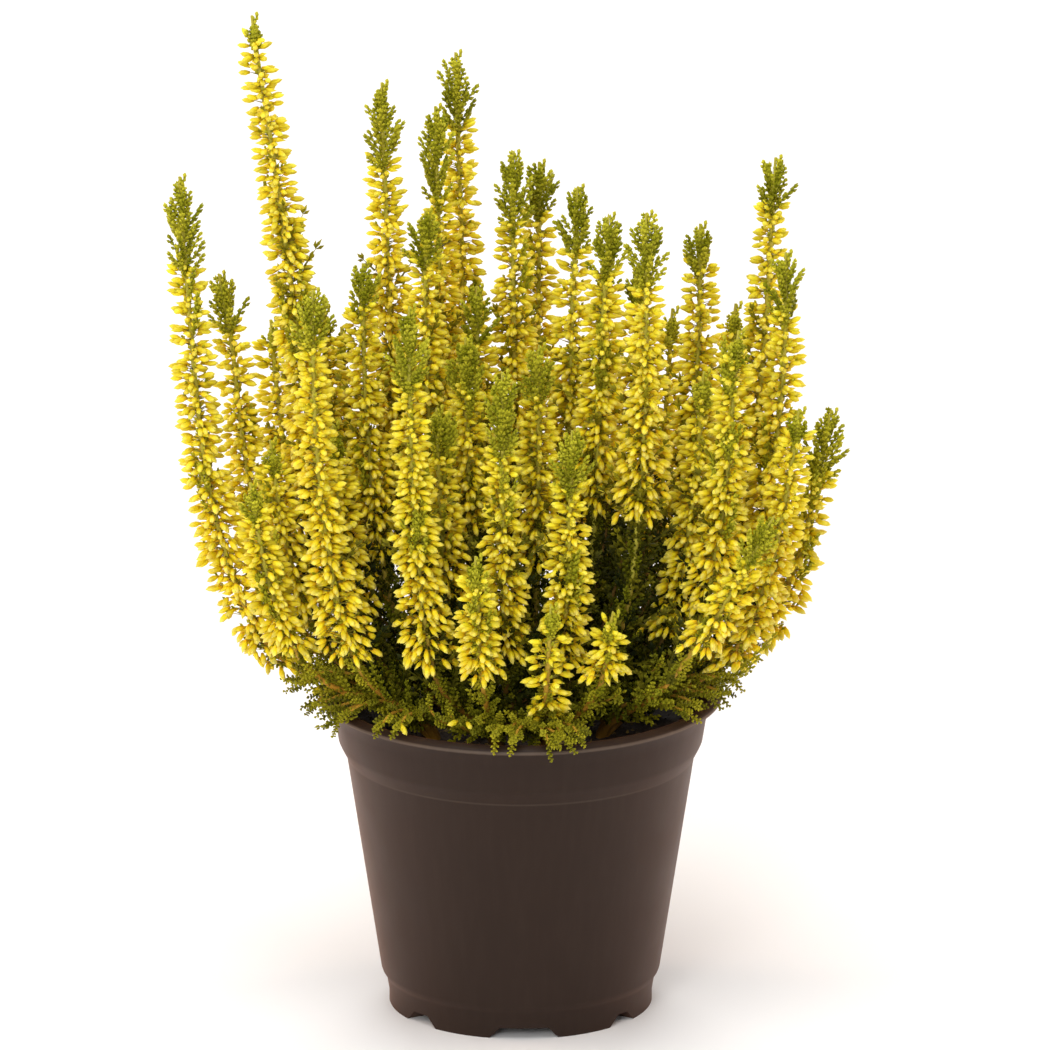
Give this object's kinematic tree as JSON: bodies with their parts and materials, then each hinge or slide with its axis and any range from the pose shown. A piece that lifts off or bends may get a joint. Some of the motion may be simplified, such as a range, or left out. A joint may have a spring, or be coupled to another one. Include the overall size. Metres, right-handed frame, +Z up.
{
  "type": "potted heather",
  "caption": "Yellow bud-flowering heather of upright flower spikes with green tips, standing in a small round plastic grower's pot.",
  "frame": {"origin": "on the floor under the middle of the pot, on the flat stud under the pot's base, which is level with its feet", "axes": "+Z up along the pot's axis; the plant's front, as usually seen, faces -Y; +X is to the right seen from the front"},
  "size_m": [0.1838, 0.1391, 0.278],
  "materials": {
    "pot_plastic": "moulded grey-brown polypropylene, satin to matte, with a lighter rolled lip",
    "growing_medium": "dark moist peat and bark fibre with fallen bits of leaf",
    "heather_leaf": "woody orange-brown stems closely set with small yellow-green scale leaves",
    "heather_bud": "closed yellow flower buds, soft satin, paler at the point and golden in the shade"
  },
  "bodies": {
    "root": {"flower_spike_back_1": "heather_bud", "flower_spike_back_2": "heather_bud", "flower_spike_back_3": "heather_bud", "flower_spike_back_left_1": "heather_bud", "flower_spike_back_left_2": "heather_bud", "flower_spike_back_left_3": "heather_bud", "flower_spike_back_right_1": "heather_bud", "flower_spike_back_right_2": "heather_bud", "flower_spike_back_right_3": "heather_bud", "flower_spike_back_right_4": "heather_bud", "flower_spike_front_1": "heather_bud", "flower_spike_front_2": "heather_bud", "flower_spike_front_3": "heather_bud", "flower_spike_front_left_1": "heather_bud", "flower_spike_front_left_2": "heather_bud", "flower_spike_front_left_3": "heather_bud", "flower_spike_front_middle_1": "heather_bud", "flower_spike_front_middle_2": "heather_bud", "flower_spike_front_middle_3": "heather_bud", "flower_spike_front_right_1": "heather_bud", "flower_spike_front_right_2": "heather_bud", "flower_spike_front_right_3": "heather_bud", "flower_spike_front_right_4": "heather_bud", "flower_spike_left_1": "heather_bud", "flower_spike_left_2": "heather_bud", "flower_spike_left_3": "heather_bud", "flower_spike_left_4": "heather_bud", "flower_spike_middle_1": "heather_bud", "flower_spike_middle_2": "heather_bud", "flower_spike_middle_3": "heather_bud", "flower_spike_middle_back_1": "heather_bud", "flower_spike_middle_back_2": "heather_bud", "flower_spike_middle_back_3": "heather_bud", "flower_spike_middle_back_4": "heather_bud", "flower_spike_middle_left_1": "heather_bud", "flower_spike_middle_left_2": "heather_bud", "flower_spike_middle_left_3": "heather_bud", "flower_spike_middle_right_1": "heather_bud", "flower_spike_middle_right_2": "heather_bud", "flower_spike_right_1": "heather_bud", "flower_spike_right_2": "heather_bud", "flower_spike_right_3": "heather_bud", "flower_spike_right_4": "heather_bud", "growing_medium": "growing_medium", "leafy_stems_back": "heather_leaf", "leafy_stems_back_left": "heather_leaf", "leafy_stems_back_right": "heather_leaf", "leafy_stems_front": "heather_leaf", "leafy_stems_front_left": "heather_leaf", "leafy_stems_front_middle": "heather_leaf", "leafy_stems_front_right": "heather_leaf", "leafy_stems_left": "heather_leaf", "leafy_stems_middle": "heather_leaf", "leafy_stems_middle_back": "heather_leaf", "leafy_stems_middle_left": "heather_leaf", "leafy_stems_middle_right": "heather_leaf", "leafy_stems_right": "heather_leaf", "pot": "pot_plastic"}
  },
  "joints": []
}
